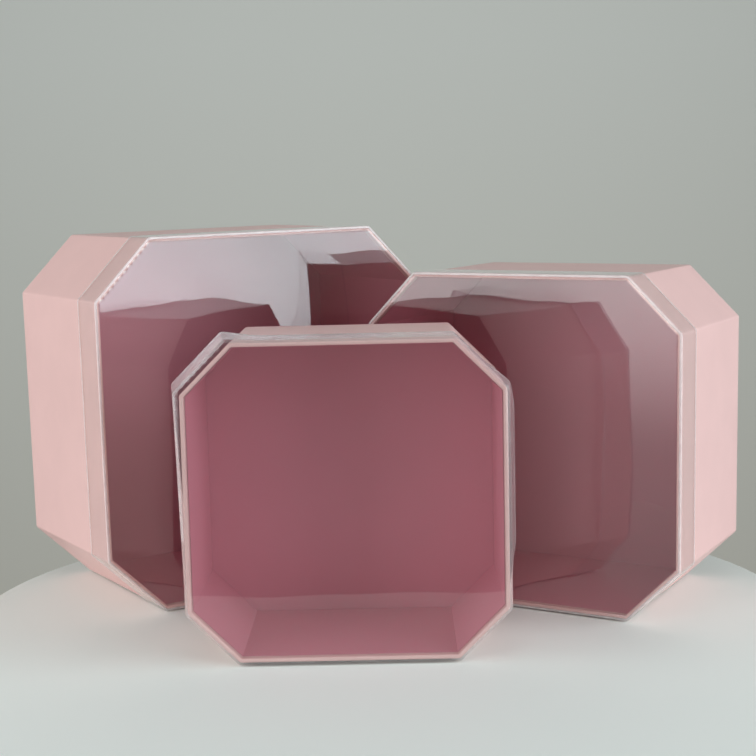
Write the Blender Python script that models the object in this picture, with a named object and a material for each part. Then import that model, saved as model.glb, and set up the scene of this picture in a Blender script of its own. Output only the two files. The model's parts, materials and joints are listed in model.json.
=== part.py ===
"""Nesting set of three eight-sided flower boxes with clear lift-off lids.

Each box lies on one side panel with its opening towards -Y, the way the set is displayed: the
large box behind on the left, the medium box behind on the right and the small box in front.
Metres, +Z up. The origin is the middle of the set's footprint, on the surface it stands on.

In a box's own frame X runs across the opening, Y runs from the rim to the base and Z runs up
from the side panel that the box lies on. "Inset" is a distance inwards from the outer face.
"""
import math

import bmesh
import bpy
from mathutils import Vector

# The three boxes: size and place of the middle of each opening's lower edge.
BOXES = {
    "large": {
        "width": 0.250, "depth": 0.133, "place": (-0.0747, 0.0), "turn": 33.2,
        "lid_slack": 0.0005, "flare": 0.0,
    },
    "medium": {
        "width": 0.221, "depth": 0.126, "place": (0.0905, -0.0563), "turn": -29.6,
        "lid_slack": 0.0005, "flare": 0.0,
    },
    "small": {
        "width": 0.1925, "depth": 0.105, "place": (-0.0207, -0.1632), "turn": -0.7,
        "lid_slack": 0.0010, "flare": 0.0042,
    },
}

CHAMFER_RATIO = 0.158      # leg of each cut corner, as a share of the width
FOLD_RADIUS = 0.003        # outer radius of the folded wall corners
FOLD_STEPS = 3             # straight steps that make up one folded corner

# Materials' thicknesses and the clearance between glued layers.
PAPER = 0.00025
TAPE = 0.00018
BOARD = 0.0010
SHEET = 0.0004
GAP = 0.0003

TURN_IN = 0.014            # covering paper folded down inside the rim
TURN_UNDER = 0.005         # covering paper folded under the base
RIM_EASE = 0.0003          # softening of the paper's fold at the rim
LINER_DROP = 0.004         # rim to the upper edge of the wall liner
SHEET_MARGIN = 0.003       # base sheet kept in from the base's edge
TAPE_WIDTH = 0.022
BUTT_JOINT = 0.0004        # slit where the two ends of the wall strip meet
SKIRT = 0.028              # depth of the lid's skirt

# Layers of the wall, from the outer face inwards.
TAPE_OUT = PAPER + GAP
BOARD_OUT = TAPE_OUT + TAPE + GAP
BOARD_IN = BOARD_OUT + BOARD
TURN_OUT = BOARD_IN + GAP
TURN_INNER = TURN_OUT + PAPER
LINER_OUT = TURN_INNER + GAP
LINER_INNER = LINER_OUT + PAPER

# Layers of the base, as distances from the outside of the base.
UNDER_BACK = PAPER + GAP
UNDER_FRONT = UNDER_BACK + PAPER
BASE_BOARD_BACK = UNDER_FRONT + GAP
BASE_BOARD_FRONT = BASE_BOARD_BACK + BOARD
BASE_LINER_BACK = BASE_BOARD_FRONT + GAP
BASE_LINER_FRONT = BASE_LINER_BACK + PAPER

LID_FACE = GAP + SHEET     # the lid's outer face stands this far in front of the rim

PAINT = {
    "wall_board": ((0.42, 0.40, 0.37), 0.85, 1.0),
    "base_board": ((0.40, 0.38, 0.35), 0.85, 1.0),
    "seam_tape": ((0.72, 0.62, 0.48), 0.75, 1.0),
    "outer_wrap": ((0.80, 0.52, 0.50), 0.42, 1.0),
    "base_sheet": ((0.78, 0.50, 0.48), 0.45, 1.0),
    "wall_liner": ((0.48, 0.17, 0.21), 0.50, 1.0),
    "base_liner": ((0.45, 0.16, 0.20), 0.50, 1.0),
    "lid_panel": ((0.95, 0.95, 0.97), 0.06, 0.25),
    "lid_band": ((0.95, 0.95, 0.97), 0.08, 0.30),
}


def clear_scene():
    for old in list(bpy.data.objects):
        bpy.data.objects.remove(old, do_unlink=True)


def make_material(name, colour, roughness, alpha):
    material = bpy.data.materials.new(name)
    material.use_nodes = True
    shader = material.node_tree.nodes["Principled BSDF"]
    shader.inputs["Base Color"].default_value = (*colour, 1.0)
    shader.inputs["Roughness"].default_value = roughness
    shader.inputs["Metallic"].default_value = 0.0
    shader.inputs["Alpha"].default_value = alpha
    return material


def finish(part, box_name, piece, frame, collection):
    """Name a new object, give it its own material and hang it on its frame."""
    part.name = f"{box_name}_{piece}"
    part.data.name = part.name
    part.data.materials.append(make_material(part.name, *PAINT[piece]))
    part.parent = frame
    for owner in list(part.users_collection):
        owner.objects.unlink(part)
    collection.objects.link(part)
    return part


def outline(width, inset=0.0, lift=0.0):
    """Rounded eight-sided outline (x, z), counter-clockwise from the lower side's right end.

    lift raises the whole outline, so that one that is let out can still stand on the same level.
    """
    half = width / 2 - inset
    leg = width * CHAMFER_RATIO - inset * (2 - math.sqrt(2))
    radius = max(FOLD_RADIUS - inset, 0.0004)
    corners = [
        (half - leg, 0), (half, leg), (half, 2 * half - leg), (half - leg, 2 * half),
        (leg - half, 2 * half), (-half, 2 * half - leg), (-half, leg), (leg - half, 0),
    ]
    to_centre = radius / math.cos(math.radians(22.5))
    points = []
    for index, (x, z) in enumerate(corners):
        bisector = math.radians(45 * index - 67.5)
        centre_x = x - to_centre * math.cos(bisector)
        centre_z = z - to_centre * math.sin(bisector)
        for step in range(FOLD_STEPS + 1):
            angle = math.radians(45 * (index + step / FOLD_STEPS) - 90)
            points.append((
                centre_x + radius * math.cos(angle),
                centre_z + radius * math.sin(angle) + inset + lift,
            ))
    return points


def wall_ring(width, section, slit=0.0):
    """Run a closed section of (inset, depth, lift) points round the outline.

    A grid is bent into shape: its columns follow the outline and its rows the section. With a
    slit the ring is a folded strip whose two ends stand that far apart in the lower side.
    """
    loops = []
    for inset, depth, lift in section:
        loop = [Vector((x, depth, z)) for x, z in outline(width, inset, lift)]
        if slit:
            level = loop[0].z
            loop = [Vector((slit / 2, depth, level))] + loop + [Vector((-slit / 2, depth, level))]
        loops.append(loop)
    columns = len(loops[0])
    rows = len(loops)
    spans = columns - 1 if slit else columns
    shape = bmesh.new()
    bmesh.ops.create_grid(shape, x_segments=spans, y_segments=rows, size=0.5)
    for vertex in shape.verts:
        column = round((vertex.co.x + 0.5) * spans) % columns
        row = round((vertex.co.y + 0.5) * rows) % rows
        vertex.co = loops[row][column]
    bmesh.ops.remove_doubles(shape, verts=shape.verts, dist=1e-6)
    if slit:
        ends = [edge for edge in shape.edges if edge.is_boundary]
        bmesh.ops.holes_fill(shape, edges=ends, sides=0)
    bmesh.ops.recalc_face_normals(shape, faces=shape.faces)
    mesh = bpy.data.meshes.new("ring")
    shape.to_mesh(mesh)
    shape.free()
    mesh.shade_smooth()
    mesh.set_sharp_from_angle(angle=math.radians(30))
    return bpy.data.objects.new("ring", mesh)


def plate(width, inset, front, back):
    """Flat eight-sided sheet between two depths: a filled flat curve, stood on edge."""
    curve = bpy.data.curves.new("plate", "CURVE")
    curve.dimensions = "2D"
    curve.fill_mode = "BOTH"
    curve.extrude = (back - front) / 2
    points = outline(width, inset)
    spline = curve.splines.new("POLY")
    spline.points.add(len(points) - 1)
    for target, (x, z) in zip(spline.points, points):
        target.co = (x, z, 0, 1)
    spline.use_cyclic_u = True
    sheet = bpy.data.objects.new("plate", curve)
    sheet.rotation_euler = (math.radians(90), 0, 0)
    sheet.location = (0, (front + back) / 2, 0)
    return sheet


def tape_strip(depth_from, depth_to):
    """Flat strip over the butt joint, on the outside of the wall board's lower side."""
    bpy.ops.mesh.primitive_cube_add(size=1.0)
    strip = bpy.context.active_object
    strip.scale = (TAPE_WIDTH, depth_to - depth_from, TAPE)
    bpy.ops.object.transform_apply(location=False, rotation=False, scale=True)
    strip.location = (0, (depth_from + depth_to) / 2, TAPE_OUT + TAPE / 2)
    return strip


def rectangle(inset_out, inset_in, front, back):
    """Plain closed section of one layer of the wall."""
    return [
        (inset_out, front, 0), (inset_out, back, 0), (inset_in, back, 0), (inset_in, front, 0),
    ]


def wrap_section(depth):
    """Covering paper: round the outside, in over the rim and under the base."""
    under_back = depth - UNDER_BACK
    under_front = depth - UNDER_FRONT
    points = [
        (0, RIM_EASE), (0, under_back), (TURN_UNDER, under_back), (TURN_UNDER, under_front),
        (PAPER, under_front), (PAPER, PAPER), (TURN_OUT, PAPER), (TURN_OUT, TURN_IN),
        (TURN_INNER, TURN_IN), (TURN_INNER, RIM_EASE), (TURN_INNER - RIM_EASE, 0), (RIM_EASE, 0),
    ]
    return [(inset, at, 0) for inset, at in points]


def band_section(slack, flare):
    """Lid skirt: straight, or let out by the flare towards its free edge on three sides."""
    outer = -slack - SHEET
    return [
        (outer, -LID_FACE, 0), (outer - flare, SKIRT, flare),
        (-slack - flare, SKIRT, flare), (-slack, -LID_FACE, 0),
    ]


def build_body(name, box, frame, collection):
    """The box itself: two boards, the tape and four papers."""
    width = box["width"]
    depth = box["depth"]
    board_front = PAPER + GAP
    board_back = depth - BASE_LINER_BACK
    liner_back = depth - BASE_LINER_FRONT - GAP
    board_wall = rectangle(BOARD_OUT, BOARD_IN, board_front, board_back)
    liner_wall = rectangle(LINER_OUT, LINER_INNER, LINER_DROP, liner_back)
    pieces = {
        "wall_board": wall_ring(width, board_wall, slit=BUTT_JOINT),
        "seam_tape": tape_strip(board_front, board_back),
        "base_board": plate(width, BOARD_OUT, depth - BASE_BOARD_FRONT, depth - BASE_BOARD_BACK),
        "outer_wrap": wall_ring(width, wrap_section(depth)),
        "base_sheet": plate(width, SHEET_MARGIN, depth - PAPER, depth),
        "wall_liner": wall_ring(width, liner_wall),
        "base_liner": plate(width, TURN_OUT, depth - BASE_LINER_FRONT, depth - BASE_LINER_BACK),
    }
    for piece, part in pieces.items():
        finish(part, name, piece, frame, collection)


def build_lid(name, box, frame, collection):
    """Clear lid: a flat octagon inside the front edge of a folded band."""
    width = box["width"]
    slack = box["lid_slack"]
    pieces = {
        "lid_panel": plate(width, GAP - slack, -LID_FACE, -GAP),
        "lid_band": wall_ring(width, band_section(slack, box["flare"])),
    }
    for piece, part in pieces.items():
        finish(part, name, piece, frame, collection)


def add_frame(name, parent, collection):
    frame = bpy.data.objects.new(name, None)
    frame.empty_display_size = 0.03
    frame.parent = parent
    collection.objects.link(frame)
    return frame


def lay_down(frame, box):
    """Stand the box on its lid's skirt in front and on its own back edge behind.

    The skirt is thicker than the wall it goes over, so the box leans back by a fraction of a
    degree until its back edge meets the surface.
    """
    stand_off = box["lid_slack"] + SHEET
    lean = math.atan2(stand_off, box["depth"] - UNDER_BACK - SKIRT)
    drop = (box["depth"] - UNDER_BACK) * math.sin(lean)
    x, y = box["place"]
    frame.location = (x, y, drop)
    frame.rotation_euler = (-lean, 0, math.radians(box["turn"]))


def centre_on_surface(frames, collection):
    """Move the whole set so that the origin is under the middle of its footprint."""
    bpy.context.view_layer.update()
    depsgraph = bpy.context.evaluated_depsgraph_get()
    corners = []
    for part in collection.objects:
        if part.type != "EMPTY":
            solid = part.evaluated_get(depsgraph)
            corners += [solid.matrix_world @ Vector(corner.co) for corner in solid.to_mesh().vertices]
            solid.to_mesh_clear()
    shift = Vector((
        -(min(c.x for c in corners) + max(c.x for c in corners)) / 2,
        -(min(c.y for c in corners) + max(c.y for c in corners)) / 2,
        -min(c.z for c in corners),
    ))
    for frame in frames:
        frame.location += shift


def main():
    clear_scene()
    collection = bpy.data.collections.new("flower_box_set")
    bpy.context.scene.collection.children.link(collection)
    frames = []
    for name, box in BOXES.items():
        frame = add_frame(f"{name}_box_frame", None, collection)
        lay_down(frame, box)
        build_body(name, box, frame, collection)
        lid_frame = add_frame(f"{name}_lid_frame", frame, collection)
        build_lid(name, box, lid_frame, collection)
        frames.append(frame)
    centre_on_surface(frames, collection)


main()
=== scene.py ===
"""Looks of the flower box set: covering papers, clear lids, stage, lights and camera.

Every piece is built in its own box's frame (X across the opening, Y from the rim to the base,
Z up from the side the box lies on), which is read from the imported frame, and then rides on the
body it belongs to.
"""
import json
import math

import bmesh
import bpy
from mathutils import Matrix, Vector


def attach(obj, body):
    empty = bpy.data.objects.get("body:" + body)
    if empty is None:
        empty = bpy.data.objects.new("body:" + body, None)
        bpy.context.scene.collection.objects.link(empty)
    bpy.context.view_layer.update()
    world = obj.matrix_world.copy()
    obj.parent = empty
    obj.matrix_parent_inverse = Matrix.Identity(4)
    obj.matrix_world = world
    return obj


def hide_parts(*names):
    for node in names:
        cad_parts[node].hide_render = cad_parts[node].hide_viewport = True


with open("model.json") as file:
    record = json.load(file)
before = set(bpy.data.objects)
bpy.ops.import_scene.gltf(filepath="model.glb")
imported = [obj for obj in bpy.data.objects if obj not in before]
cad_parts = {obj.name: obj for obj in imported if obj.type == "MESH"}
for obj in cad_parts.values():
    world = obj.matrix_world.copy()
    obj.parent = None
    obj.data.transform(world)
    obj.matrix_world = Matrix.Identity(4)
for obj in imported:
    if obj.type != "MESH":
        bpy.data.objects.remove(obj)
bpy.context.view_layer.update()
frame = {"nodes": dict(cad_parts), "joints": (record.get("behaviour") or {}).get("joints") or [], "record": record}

BOX_NAMES = ("large", "medium", "small")

# Shape of the boxes, as the design has it.
CHAMFER_RATIO = 0.158      # leg of each cut corner, as a share of the width
CORNER = 1 - 2 * CHAMFER_RATIO  # where a cut corner starts, from 0 at mid side to 1 at its end
FOLD_RADIUS = 0.003        # outer radius of the folded wall corners
LEAST_RADIUS = 0.0004      # radius left at the inner layers' corners
CORNER_STEPS = 8
PAPER = 0.00025
PAPER_FOLD = 0.0007        # outer radius of the paper's folds at the rim and the base's edge
LINER_STEP = 0.0003        # how far the wall liner stands off the turned-in paper
TURN_IN = 0.014            # covering paper folded down inside the rim
TURN_UNDER = 0.005         # covering paper folded under the base
WRAP_ROWS = 14

# The covering paper's shallow waves, which fade out before its folds.
WAVE_HEIGHT = 0.00006
FLAT_MARGIN = 0.004

# Clear lids.
SHEET = 0.0004
PANEL_SHEET = SHEET * 0.6
SKIRT_SHEET = SHEET * 0.8
FOLD_BEAD = 0.0007         # radius of the lid's folded front edge
FLANGE = 0.0010            # how far the folded edge reaches in over the lid's face
EDGE_BEAD = 0.0011         # whitened cut edge of the skirt
SKIRT_ROWS = 10
PANEL_STEP = 0.0035        # size of the lid face's mesh
FLANGE_SHEET = SKIRT_SHEET * 0.6
FACE_DEPTH = FOLD_BEAD * 0.15   # how far the lid's face lies behind the fold's front

# Meshes.
MERGE_DISTANCE = 1e-6
SHARP_ANGLE = math.radians(40)


# ---------------------------------------------------------------- frames and outlines

class BoxFrame:
    """One box's own axes and sizes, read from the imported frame."""

    def __init__(self, name):
        self.name = name
        joints = {joint["name"]: joint for joint in frame["joints"]}
        mounts = {mount["name"]: mount for mount in frame["record"]["mounts"]}
        depth_axis = -Vector(joints[f"{name}_lid_slide"]["axis"]).normalized()
        up_axis = -Vector(mounts[f"{name}_skirt_underside"]["axis"]).normalized()
        across = depth_axis.cross(up_axis).normalized()
        self.axes = Matrix((across, depth_axis, up_axis)).transposed()
        low, high = self.extent(f"{name}_outer_wrap", Vector((0, 0, 0)))
        corner = Vector(((low.x + high.x) / 2, low.y, low.z))
        self.origin = self.axes @ corner
        self.width = high.x - low.x
        self.depth = high.y - low.y
        self.leg = self.width * CHAMFER_RATIO

    def extent(self, node, origin=None):
        """Lowest and highest corner of a CAD node in this box's own axes."""
        start = self.origin if origin is None else origin
        inverse = self.axes.transposed()
        points = [inverse @ (v.co - start) for v in frame["nodes"][node].data.vertices]
        low = Vector(min(p[axis] for p in points) for axis in range(3))
        high = Vector(max(p[axis] for p in points) for axis in range(3))
        return low, high

    def matrix(self):
        return Matrix.Translation(self.origin) @ self.axes.to_4x4()


def outline(width, inset, side_steps=1):
    """Rounded eight-sided outline (x, z), counter-clockwise, with the straight sides divided."""
    half = width / 2 - inset
    leg = width * CHAMFER_RATIO - inset * (2 - math.sqrt(2))
    radius = max(FOLD_RADIUS - inset, LEAST_RADIUS)
    corners = [
        (half - leg, 0), (half, leg), (half, 2 * half - leg), (half - leg, 2 * half),
        (leg - half, 2 * half), (-half, 2 * half - leg), (-half, leg), (leg - half, 0),
    ]
    to_centre = radius / math.cos(math.radians(22.5))
    points = []
    for index, (x, z) in enumerate(corners):
        bisector = math.radians(45 * index - 67.5)
        centre_x = x - to_centre * math.cos(bisector)
        centre_z = z - to_centre * math.sin(bisector)
        for step in range(CORNER_STEPS + 1):
            angle = math.radians(45 * (index + step / CORNER_STEPS) - 90)
            points.append((
                centre_x + radius * math.cos(angle),
                centre_z + radius * math.sin(angle) + inset,
            ))
    divided = []
    for index, (x, z) in enumerate(points):
        divided.append((x, z))
        if index % (CORNER_STEPS + 1) == CORNER_STEPS:
            next_x, next_z = points[(index + 1) % len(points)]
            for step in range(1, side_steps):
                share = step / side_steps
                divided.append((x + (next_x - x) * share, z + (next_z - z) * share))
    return divided


def ring_mesh(name, width, section, side_steps=1, finishes=None):
    """Run a closed section of (inset, depth) points round the outline.

    finishes gives the material number of a row of faces, where it isn't the first.
    """
    finishes = finishes or {}
    loops = [
        [Vector((x, depth, z)) for x, z in outline(width, inset, side_steps)]
        for inset, depth in section
    ]
    columns = len(loops[0])
    rows = len(loops)
    shape = bmesh.new()
    bmesh.ops.create_grid(shape, x_segments=columns, y_segments=rows, size=0.5)
    for face in shape.faces:
        row = int((face.calc_center_median().y + 0.5) * rows)
        face.material_index = finishes.get(row, 0)
    for vertex in shape.verts:
        column = round((vertex.co.x + 0.5) * columns) % columns
        row = round((vertex.co.y + 0.5) * rows) % rows
        vertex.co = loops[row][column]
    bmesh.ops.remove_doubles(shape, verts=shape.verts, dist=MERGE_DISTANCE)
    bmesh.ops.recalc_face_normals(shape, faces=shape.faces)
    mesh = bpy.data.meshes.new(name)
    shape.to_mesh(mesh)
    shape.free()
    mesh.shade_smooth()
    mesh.set_sharp_from_angle(angle=SHARP_ANGLE)
    return mesh


def arc(centre, radius, start, end, steps):
    """Points of a circular arc in a plane, with angles in degrees from its first axis."""
    angles = [math.radians(start + (end - start) * step / steps) for step in range(steps + 1)]
    return [
        (centre[0] + radius * math.cos(a), centre[1] + radius * math.sin(a)) for a in angles
    ]


def rectangle_mesh(name, corners):
    mesh = bpy.data.meshes.new(name)
    mesh.from_pydata(corners, [], [(0, 1, 2, 3)])
    return mesh


def new_object(name, data):
    thing = bpy.data.objects.new(name, data)
    bpy.context.scene.collection.objects.link(thing)
    return thing


def place(mesh, box, body, replaced, materials):
    """Make an object of a mesh in a box's frame, and let it ride for the CAD node it shows."""
    piece = new_object(mesh.name, mesh)
    piece.matrix_world = box.matrix()
    for material in materials:
        piece.data.materials.append(material)
    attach(piece, f"{box.name}_{body}")
    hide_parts(f"{box.name}_{replaced}")
    return piece


# ---------------------------------------------------------------- materials

def new_material(name):
    material = bpy.data.materials.new(name)
    material.use_nodes = True
    tree = material.node_tree
    return material, tree, tree.nodes["Principled BSDF"]


def add_noise(tree, scale, detail=4.0, roughness=0.55):
    position = tree.nodes.new("ShaderNodeTexCoord")
    noise = tree.nodes.new("ShaderNodeTexNoise")
    noise.inputs["Scale"].default_value = scale
    noise.inputs["Detail"].default_value = detail
    noise.inputs["Roughness"].default_value = roughness
    tree.links.new(position.outputs["Object"], noise.inputs["Vector"])
    return noise


def blend_colours(tree, shader, noise, first, second, low=0.35, high=0.65):
    ramp = tree.nodes.new("ShaderNodeValToRGB")
    ramp.color_ramp.elements[0].position = low
    ramp.color_ramp.elements[0].color = (*first, 1.0)
    ramp.color_ramp.elements[1].position = high
    ramp.color_ramp.elements[1].color = (*second, 1.0)
    tree.links.new(noise.outputs["Fac"], ramp.inputs["Fac"])
    tree.links.new(ramp.outputs["Color"], shader.inputs["Base Color"])


def add_bump(tree, shader, noise, strength, distance):
    bump = tree.nodes.new("ShaderNodeBump")
    bump.inputs["Strength"].default_value = strength
    bump.inputs["Distance"].default_value = distance
    tree.links.new(noise.outputs["Fac"], bump.inputs["Height"])
    tree.links.new(bump.outputs["Normal"], shader.inputs["Normal"])


def scaled(colour, factor):
    return tuple(min(channel * factor, 1.0) for channel in colour)


def paper_material(name, colour, roughness, grain=0.25, mottling=0.02):
    """Coated covering paper: faint mottling, fine felt-like grain and a satin surface."""
    material, tree, shader = new_material(name)
    clouds = add_noise(tree, 28.0, detail=6.0)
    blend_colours(tree, shader, clouds, scaled(colour, 1 - mottling), scaled(colour, 1 + mottling))
    fibres = add_noise(tree, 1500.0, detail=3.0, roughness=0.7)
    add_bump(tree, shader, fibres, grain, 0.00004)
    shader.inputs["Roughness"].default_value = roughness
    shader.inputs["Specular IOR Level"].default_value = 0.5
    return material


def board_material(name, colour):
    """Raw grey board: flecked, dull and slightly rough."""
    material, tree, shader = new_material(name)
    flecks = add_noise(tree, 700.0, detail=8.0, roughness=0.8)
    blend_colours(tree, shader, flecks, scaled(colour, 0.75), scaled(colour, 1.15), 0.3, 0.7)
    add_bump(tree, shader, flecks, 0.4, 0.0001)
    shader.inputs["Roughness"].default_value = 0.85
    return material


HAZE_COLOUR = (0.97, 0.93, 0.93, 1.0)
HAZE_SPREAD = 0.3          # how far the haze varies over the film, as a share of its amount


def clear_material(name, haze, tint, ior=1.57, gloss=0.02):
    """Thin clear film: shows what is behind it, mirrors more at a slant, with a little haze.

    The mirror share is Schlick's rule on the facing angle, the same from both sides of the film.
    """
    material, tree, shader = new_material(name)
    output = tree.nodes["Material Output"]
    through = tree.nodes.new("ShaderNodeBsdfTransparent")
    through.inputs["Color"].default_value = (*tint, 1.0)
    mirror = tree.nodes.new("ShaderNodeBsdfGlossy")
    mirror.inputs["Color"].default_value = (1.0, 1.0, 1.0, 1.0)
    mirror.inputs["Roughness"].default_value = gloss
    slant = tree.nodes.new("ShaderNodeLayerWeight")
    slant.inputs["Blend"].default_value = 0.5
    steep = tree.nodes.new("ShaderNodeMath")
    steep.operation = "POWER"
    steep.inputs[1].default_value = 5.0
    tree.links.new(slant.outputs["Facing"], steep.inputs[0])
    share = tree.nodes.new("ShaderNodeMapRange")
    share.inputs["To Min"].default_value = ((ior - 1) / (ior + 1)) ** 2
    share.inputs["To Max"].default_value = 1.0
    tree.links.new(steep.outputs["Value"], share.inputs["Value"])
    film = tree.nodes.new("ShaderNodeMixShader")
    tree.links.new(share.outputs["Result"], film.inputs["Fac"])
    tree.links.new(through.outputs["BSDF"], film.inputs[1])
    tree.links.new(mirror.outputs["BSDF"], film.inputs[2])
    shader.inputs["Base Color"].default_value = HAZE_COLOUR
    shader.inputs["Roughness"].default_value = 0.25
    dust = add_noise(tree, 90.0, detail=5.0)
    amount = tree.nodes.new("ShaderNodeMapRange")
    amount.inputs["From Min"].default_value = 0.3
    amount.inputs["From Max"].default_value = 0.75
    amount.inputs["To Min"].default_value = haze * (1 - HAZE_SPREAD)
    amount.inputs["To Max"].default_value = haze * (1 + HAZE_SPREAD)
    tree.links.new(dust.outputs["Fac"], amount.inputs["Value"])
    mix = tree.nodes.new("ShaderNodeMixShader")
    tree.links.new(amount.outputs["Result"], mix.inputs["Fac"])
    tree.links.new(film.outputs["Shader"], mix.inputs[1])
    tree.links.new(shader.outputs["BSDF"], mix.inputs[2])
    tree.links.new(mix.outputs["Shader"], output.inputs["Surface"])
    return material


def height_share(tree, low, high):
    """A Map Range node that goes from 0 to 1 between two heights of the object."""
    position = tree.nodes.new("ShaderNodeTexCoord")
    split = tree.nodes.new("ShaderNodeSeparateXYZ")
    share = tree.nodes.new("ShaderNodeMapRange")
    share.inputs["From Min"].default_value = low
    share.inputs["From Max"].default_value = high
    tree.links.new(position.outputs["Object"], split.inputs["Vector"])
    tree.links.new(split.outputs["Z"], share.inputs["Value"])
    return share


# The wall's gradient is painted shade: darker and warmer towards the ground.
WALL_PAINTED_SHADE_FOOT = (-0.62, (0.73, 0.71, 0.635, 1.0))     # height and colour at the gradient's foot
WALL_HIGH = (0.52, (0.815, 0.835, 0.785, 1.0))   # and at its head


def wall_material():
    """Matt grey paint, with painted shade that makes it a little darker and warmer towards the ground."""
    material, tree, shader = new_material("grey_wall_painted_shade")
    share = height_share(tree, WALL_PAINTED_SHADE_FOOT[0], WALL_HIGH[0])
    ramp = tree.nodes.new("ShaderNodeValToRGB")
    ramp.color_ramp.elements[0].color = WALL_PAINTED_SHADE_FOOT[1]
    ramp.color_ramp.elements[1].color = WALL_HIGH[1]
    tree.links.new(share.outputs["Result"], ramp.inputs["Fac"])
    tree.links.new(ramp.outputs["Color"], shader.inputs["Base Color"])
    shader.inputs["Roughness"].default_value = 0.9
    return material


def plain_material(name, colour, roughness):
    material, _, shader = new_material(name)
    shader.inputs["Base Color"].default_value = (*colour, 1.0)
    shader.inputs["Roughness"].default_value = roughness
    return material


PINK = (0.80, 0.53, 0.507)
ROSE = (0.675, 0.257, 0.328)

wrap_paper = paper_material("pink_covering_paper", PINK, 0.42, grain=0.12)
base_paper = paper_material("pink_base_paper", scaled(PINK, 0.97), 0.5)
liner_paper = paper_material("rose_lining_paper", ROSE, 0.5, grain=0.05, mottling=0.012)
grey_board = board_material("grey_board", (0.40, 0.38, 0.35))
kraft_tape = board_material("gummed_tape", (0.62, 0.50, 0.36))
clear_face = clear_material("clear_lid_face", 0.003, (0.995, 0.995, 0.995))

# The skirts' materials in the order of the material numbers: film, front fold and cut edge.
FILM, FOLD, CUT, CLOUDY, BENT_FOLD = range(5)
skirt_materials = [
    clear_material("clear_lid_skirt", 0.02, (1.0, 0.995, 0.995), ior=1.45),
    # The front fold's haze is partly real frosting of the folded film and partly a painted highlight where the
    # fold catches the lights.
    clear_material("clear_lid_fold", 0.40, (1.0, 0.97, 0.975), gloss=0.25),
    clear_material("clear_lid_cut", 0.35, (1.0, 0.97, 0.97), ior=1.35, gloss=0.3),
]
small_skirt_materials = [
    clear_material("clear_lid_soft_skirt", 0.05, (1.0, 0.995, 0.995), ior=1.5, gloss=0.25),
    clear_material("clear_lid_soft_fold", 0.05, (1.0, 0.985, 0.985), gloss=0.3),
    clear_material("clear_lid_soft_cut", 0.42, (1.0, 0.97, 0.98), gloss=0.2),
    clear_material("cloudy_lid_skirt", 0.20, (1.0, 0.97, 0.99), ior=1.5, gloss=0.25),
    clear_material("clear_lid_bent_fold", 0.24, (1.0, 0.96, 0.97), ior=1.4, gloss=0.3),
]


# ---------------------------------------------------------------- papers

def wrap_section(box):
    """Covering paper with rounded folds at the rim and at the base's edge."""
    depth = box.extent(f"{box.name}_outer_wrap")[1].y
    rim = box.width / 2 - box.extent(f"{box.name}_wall_liner")[1].x - LINER_STEP
    fold = PAPER_FOLD
    inner_fold = fold - PAPER
    front, back = fold, depth - fold
    points = [(0.0, front + (back - front) * row / WRAP_ROWS) for row in range(WRAP_ROWS + 1)]
    points += arc((fold, back), fold, 180, 90, 4)[1:]
    points += [(TURN_UNDER, depth), (TURN_UNDER, depth - PAPER)]
    points += arc((fold, back), inner_fold, 90, 180, 3)
    points += arc((fold, front), inner_fold, 180, 270, 3)
    points += arc((rim - fold, front), inner_fold, 270, 360, 3)
    points += [(rim - PAPER, TURN_IN), (rim, TURN_IN)]
    points += arc((rim - fold, front), fold, 360, 270, 4)
    points += arc((fold, front), fold, 270, 180, 4)[:-1]
    return points


def soften(mesh, box):
    """Paper glued over board is never quite flat: shallow waves of a few hundredths."""
    for vertex in mesh.vertices:
        x, y, z = vertex.co
        if FLAT_MARGIN < y < box.depth - FLAT_MARGIN:
            wave = math.sin(41 * x + 23 * z) * math.cos(52 * y + 17 * z) + 0.5 * math.sin(97 * z)
            outward = (vertex.co - Vector((0, y, box.width / 2))).normalized()
            vertex.co -= outward * WAVE_HEIGHT * (1 + wave)


def build_wrap(box):
    mesh = ring_mesh(f"{box.name}_wrap_paper", box.width, wrap_section(box), side_steps=12)
    soften(mesh, box)
    place(mesh, box, "box", "outer_wrap", [wrap_paper])


def build_liner(box):
    low, high = box.extent(f"{box.name}_wall_liner")
    outer = box.width / 2 - high.x
    inner = outer + PAPER
    section = [(outer, low.y), (outer, high.y), (inner, high.y), (inner, low.y)]
    mesh = ring_mesh(f"{box.name}_wall_lining", box.width, section, side_steps=4)
    place(mesh, box, "box", "wall_liner", [liner_paper])


# ---------------------------------------------------------------- lids

# Each lid face's gentle waves: height, length across, length up, turn and shift.
WAVES = {
    "large": ((0.00015, 0.078, 0.17, 0.0, -1.2), (0.00003, 0.047, 0.11, -0.3, 1.7)),
    "medium": ((0.00009, 0.120, 0.26, -0.3, 2.2), (0.00003, 0.052, 0.12, 0.4, 0.6)),
    "small": ((0.00008, 0.140, 0.24, 0.1, 1.1), (0.00002, 0.060, 0.12, -0.2, 2.9)),
}
BOW = 0.0003               # how far the middle of a lid's face is drawn in

# The small lid is pulled out of shape at its upper left corner and along its right side.
LEFT_PULL = Vector((-0.0072, 0, 0.0030))
RIGHT_PULL = Vector((0.0044, 0, 0))
FRONT_SHARE = 0.35         # share of the left pull at the lid's front edge
TOP_FADE = 0.013           # length of the top edge over which the left pull fades out
FACE_FADE = 0.012          # width of the lid's face over which the left pull fades out
FACE_RIM = 0.002           # width along the face's edge that takes the whole front share

# Where the pulls and the finishes change, in the measure of place_across().
LEFT_FOOT = -0.5           # foot of the left pull
RIGHT_SIDE = 0.9           # from here on a point belongs to the right side
RIGHT_RISE = 0.35          # height over which the right pull grows, from the lower corner on
RIGHT_HEAD = 1.25 * CORNER
RIGHT_FALL = 0.3           # height over which it fades out, up to its head
BENT_FOOT = -0.2           # foot of the whitened part of the small lid's fold


def limited(value):
    return max(0.0, min(1.0, value))


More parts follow.
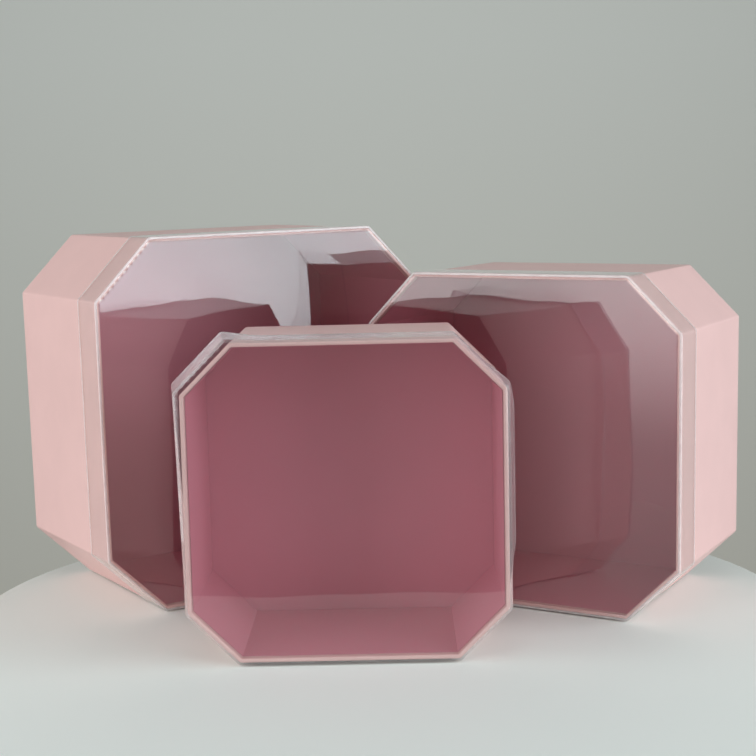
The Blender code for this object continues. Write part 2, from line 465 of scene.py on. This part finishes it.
def place_across(box, point):
    """A point's place on the opening, across and up, from -1 to 1 each."""
    half = box.width / 2
    return point.x / half, (point.z - half) / half


def face_height(name, x, z, width):
    """How far the lid's face stands in from flat, zero along its edges."""
    half = width / 2
    u = x / half
    v = (z - half) / half
    inside = max(0.0, (1 - u * u)) * max(0.0, (1 - v * v))
    height = BOW * inside
    for size, across, up, turn, shift in WAVES[name]:
        along = math.tau * (x / across + z / up + turn * x * z / (across * up) * 0.1) + shift
        height += size * (1 + math.sin(along)) * min(1.0, inside * 4)
    return height


def left_weight(box, point):
    """1 round the upper left corner of a lid, down to 0 below the middle and past the corner."""
    across, up = place_across(box, point)
    if across < -CORNER:
        return limited((up - LEFT_FOOT) / (CORNER - LEFT_FOOT))
    if up > CORNER:
        return limited(1 - (across + CORNER) * box.width / 2 / TOP_FADE)
    return 0.0


def edge_distance(box, point):
    """Distance to the left, upper left or upper edge of a box's outline."""
    left = box.width / 2 + point.x
    top = box.width - point.z
    return min(left, top, (left + top - CHAMFER_RATIO * box.width) / math.sqrt(2))


def build_panel(box):
    """The lid's clear face: a fine grid cut to the eight-sided outline and gently waved."""
    low, high = box.extent(f"{box.name}_lid_panel")
    half = (high.x - low.x) / 2
    middle_z = (low.z + high.z) / 2
    count = round(2 * half / PANEL_STEP)
    shape = bmesh.new()
    bmesh.ops.create_grid(shape, x_segments=count, y_segments=count, size=half)
    for index in range(4):
        angle = math.radians(45 + 90 * index)
        normal = Vector((math.cos(angle), math.sin(angle), 0))
        everything = shape.verts[:] + shape.edges[:] + shape.faces[:]
        bmesh.ops.bisect_plane(
            shape, geom=everything, dist=MERGE_DISTANCE, plane_no=normal, clear_outer=True,
            plane_co=normal * (2 * half - box.leg) / math.sqrt(2),
        )
    front = low.y + FACE_DEPTH
    for vertex in shape.verts:
        x, z = vertex.co.x, vertex.co.y
        depth = front + face_height(box.name, x, z + half, 2 * half)
        vertex.co = Vector((x, depth, z + middle_z))
    mesh = bpy.data.meshes.new(f"{box.name}_lid_face")
    shape.to_mesh(mesh)
    shape.free()
    mesh.shade_smooth()
    if box.name == "small":
        for vertex in mesh.vertices:
            near = limited((FACE_FADE + FACE_RIM - edge_distance(box, vertex.co)) / FACE_FADE)
            vertex.co += FRONT_SHARE * near * left_weight(box, vertex.co) * LEFT_PULL
    piece = place(mesh, box, "lid", "lid_panel", [clear_face])
    solidify = piece.modifiers.new("sheet", "SOLIDIFY")
    solidify.thickness = PANEL_SHEET
    solidify.offset = -1.0


def band_section(box):
    """Skirt section: folded front edge with a narrow flange, and the skirt down to its cut edge."""
    low, high = box.extent(f"{box.name}_lid_band")
    outer, front, back = low.z, low.y, high.y
    inner = outer + SKIRT_SHEET
    fold = front + FOLD_BEAD
    step = (back - fold - EDGE_BEAD) / SKIRT_ROWS
    depths = [fold + step * row for row in range(SKIRT_ROWS + 1)]
    points = [(outer, depth) for depth in depths]
    points += [(outer, back), (inner, back)]
    points += [(inner, depth) for depth in reversed(depths)]
    centre = (outer + FOLD_BEAD, fold)
    points += arc(centre, FOLD_BEAD - SKIRT_SHEET, 180, 270, 4)[1:]
    flange = outer + FOLD_BEAD + FLANGE
    points += [(flange, front + FLANGE_SHEET), (flange, front)]
    points += arc(centre, FOLD_BEAD, 270, 180, 6)[:-1]
    finishes = {row: FOLD for row in range(2 * SKIRT_ROWS + 3, len(points))}
    finishes |= {row: CUT for row in range(SKIRT_ROWS, SKIRT_ROWS + 3)}
    return points, finishes


def bulge(box, front, back, point):
    """How far the small lid's skirt stands off at a point: more towards its rear edge."""
    across, up = place_across(box, point)
    right = 0.0
    if across > RIGHT_SIDE:
        rise = limited((up + CORNER) / RIGHT_RISE)
        right = rise * limited((RIGHT_HEAD - up) / RIGHT_FALL)
    share = limited((point.y - front) / (back - front))
    left = left_weight(box, point) * (FRONT_SHARE + (1 - FRONT_SHARE) * share)
    return left * LEFT_PULL + share * right * RIGHT_PULL


def finish_of(box, face):
    """Material number on the small lid: cloudy at both upper corners, clear elsewhere.

    The fold is clearer than on the other lids, whose folds carry a painted highlight, save where the lid is pulled
    out of shape.
    """
    across, up = place_across(box, face.center)
    if face.material_index == FILM and up > CORNER and abs(across) > CORNER:
        return CLOUDY
    if face.material_index == FOLD and across < -CORNER and up > BENT_FOOT:
        return BENT_FOLD
    return face.material_index


def build_band(box):
    section, finishes = band_section(box)
    name = f"{box.name}_lid_skirt"
    mesh = ring_mesh(name, box.width, section, side_steps=24, finishes=finishes)
    materials = skirt_materials
    if box.name == "small":
        materials = small_skirt_materials
        low, high = box.extent(f"{box.name}_lid_band")
        for face in mesh.polygons:
            face.material_index = finish_of(box, face)
        for vertex in mesh.vertices:
            vertex.co += bulge(box, low.y + FOLD_BEAD, high.y, vertex.co)
    place(mesh, box, "lid", "lid_band", materials)


# ---------------------------------------------------------------- stage, lights and camera

FLOOR_HALF_WIDTH = 0.275
FLOOR_FRONT = -0.345
FLOOR_BACK = 0.185
FRONT_TURN = 0.02          # radius of the floor's front corners
BACK_TURN = 0.24           # radius of its wide back corners
FLOOR_HALF_THICKNESS = 0.012
FLOOR_GAP = 0.0005         # clearance between the floor and the boxes
WALL_PLACE = 2.0           # far enough behind for a camera that goes round the boxes
WALL_HALF_WIDTH = 3.6
WALL_FOOT, WALL_HEAD = -1.8, 2.4


def build_stage():
    """A pale floor, rounded at the back, and a plain grey wall behind it."""
    front_x, front_y = FLOOR_HALF_WIDTH - FRONT_TURN, FLOOR_FRONT + FRONT_TURN
    back_x, back_y = FLOOR_HALF_WIDTH - BACK_TURN, FLOOR_BACK - BACK_TURN
    corners = [
        (front_x, front_y, 270, FRONT_TURN), (back_x, back_y, 0, BACK_TURN),
        (-back_x, back_y, 90, BACK_TURN), (-front_x, front_y, 180, FRONT_TURN),
    ]
    points = []
    for x, y, start, radius in corners:
        points += arc((x, y), radius, start, start + 90, 24)
    curve = bpy.data.curves.new("floor", "CURVE")
    curve.dimensions = "2D"
    curve.fill_mode = "BOTH"
    curve.extrude = FLOOR_HALF_THICKNESS
    spline = curve.splines.new("POLY")
    spline.points.add(len(points) - 1)
    for target, (x, y) in zip(spline.points, points):
        target.co = (x, y, 0, 1)
    spline.use_cyclic_u = True
    floor = new_object("floor", curve)
    floor.location.z = -FLOOR_HALF_THICKNESS - FLOOR_GAP
    curve.materials.append(plain_material("pale_floor", (0.86, 0.92, 0.885), 0.75))
    left, right = -WALL_HALF_WIDTH, WALL_HALF_WIDTH
    mesh = rectangle_mesh("backdrop", [
        (left, WALL_PLACE, WALL_FOOT), (right, WALL_PLACE, WALL_FOOT),
        (right, WALL_PLACE, WALL_HEAD), (left, WALL_PLACE, WALL_HEAD),
    ])
    mesh.materials.append(wall_material())
    new_object("backdrop", mesh)


def add_light(name, location, target, width, height, strength):
    light = bpy.data.lights.new(name, "AREA")
    light.shape = "RECTANGLE"
    light.size = width
    light.size_y = height
    light.energy = strength * width * height
    lamp = new_object(name, light)
    lamp.location = location
    direction = Vector(target) - Vector(location)
    lamp.rotation_euler = direction.to_track_quat("-Z", "Y").to_euler()
    lamp.visible_camera = False


WINDOW_FOOT, WINDOW_HEAD = -0.70, 1.35
DIM_FROM, DIM_TO = 0.16, -0.38  # heights between which a window dims towards the ground
LEAST_GLOW = 0.22          # its brightness below that, as a share of its full glow


def add_window(name, x, front, back, glow, colour=(1.0, 1.0, 1.0)):
    """A tall soft light on one side, standing parallel to Y, that dims towards the ground."""
    mesh = rectangle_mesh(name, [
        (x, front, WINDOW_FOOT), (x, back, WINDOW_FOOT),
        (x, back, WINDOW_HEAD), (x, front, WINDOW_HEAD),
    ])
    material = bpy.data.materials.new(name)
    material.use_nodes = True
    tree = material.node_tree
    tree.nodes.remove(tree.nodes["Principled BSDF"])
    emission = tree.nodes.new("ShaderNodeEmission")
    emission.inputs["Color"].default_value = (*colour, 1.0)
    strength = height_share(tree, DIM_TO, DIM_FROM)
    strength.interpolation_type = "SMOOTHSTEP"
    strength.inputs["To Min"].default_value = glow * LEAST_GLOW
    strength.inputs["To Max"].default_value = glow
    tree.links.new(strength.outputs["Result"], emission.inputs["Strength"])
    tree.links.new(emission.outputs["Emission"], tree.nodes["Material Output"].inputs["Surface"])
    mesh.materials.append(material)
    window = new_object(name, mesh)
    window.visible_camera = False


def build_lights():
    """Two tall soft windows, left and right, and a weaker light from above the front."""
    add_window(
        "right_window", x=1.75, front=-2.20, back=-0.05, glow=4.5, colour=(0.93, 0.99, 1.03),
    )
    add_window("left_window", x=-1.75, front=-2.50, back=0.12, glow=3.3)
    add_light(
        "front_fill", location=(0.0, -1.2, 1.7), target=(0, -0.1, 0.0),
        width=1.2, height=1.0, strength=3.0,
    )
    world = bpy.data.worlds.new("studio")
    world.use_nodes = True
    background = world.node_tree.nodes["Background"]
    background.inputs["Color"].default_value = (0.92, 0.96, 0.94, 1.0)
    background.inputs["Strength"].default_value = 0.25
    bpy.context.scene.world = world


# The photo's view, from the perspective fit of the boxes.
CAMERA_PLACE = (0.0017, -1.0350, 0.2961)
CAMERA_PITCH = math.radians(8.155)   # downwards
CAMERA_ROLL = -0.0242
CAMERA_LENS = 71.43


def build_camera():
    camera_data = bpy.data.cameras.new("camera")
    camera_data.lens = CAMERA_LENS
    camera_data.sensor_width = 36.0
    camera = new_object("camera", camera_data)
    tilt = Matrix.Rotation(math.pi / 2 - CAMERA_PITCH, 4, "X")
    turn = tilt @ Matrix.Rotation(CAMERA_ROLL, 4, "Z")
    camera.matrix_world = Matrix.Translation(CAMERA_PLACE) @ turn
    bpy.context.scene.camera = camera


# ---------------------------------------------------------------- put together

# CAD nodes that show as they are, with these materials.
KEPT = {
    "wall_board": grey_board, "base_board": grey_board, "seam_tape": kraft_tape,
    "base_sheet": base_paper, "base_liner": liner_paper,
}

for box_name in BOX_NAMES:
    box_frame = BoxFrame(box_name)
    build_wrap(box_frame)
    build_liner(box_frame)
    build_panel(box_frame)
    build_band(box_frame)
    for piece_name, material in KEPT.items():
        node = frame["nodes"][f"{box_name}_{piece_name}"]
        node.data.materials.clear()
        node.data.materials.append(material)

build_stage()
build_lights()
build_camera()
bpy.context.scene.view_settings.view_transform = "Standard"
